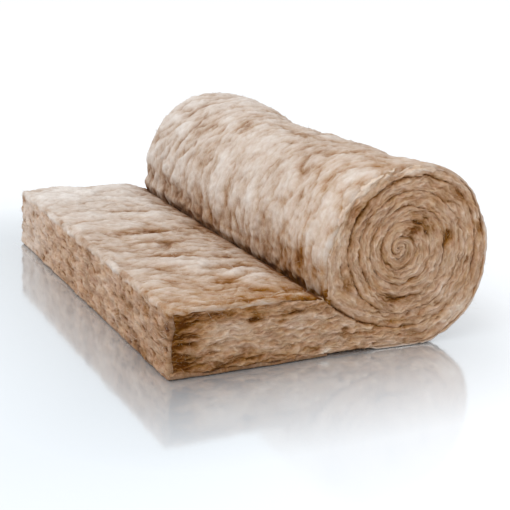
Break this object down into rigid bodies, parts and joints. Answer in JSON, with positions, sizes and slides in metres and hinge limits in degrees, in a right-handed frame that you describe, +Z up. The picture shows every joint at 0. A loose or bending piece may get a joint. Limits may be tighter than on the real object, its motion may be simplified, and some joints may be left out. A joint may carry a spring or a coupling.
{
  "type": "insulation roll",
  "caption": "Roll of brown mineral wool insulation, partly unrolled: a flat stretch of mat at full thickness runs on under and around the squeezed spiral roll.",
  "frame": {"origin": "middle of the whole object's footprint, on the floor that it lies on", "axes": "+X along the mat from its free cut end to the roll, +Y along the roll's axis (the mat's width), +Z up"},
  "size_m": [0.882, 1.14, 0.4729],
  "materials": {
    "mineral_wool": "matt fibrous mineral wool, light brown, paler on the rolled faces than on the cut edges"
  },
  "bodies": {
    "root": {"wool_mat": "mineral_wool"}
  },
  "joints": []
}
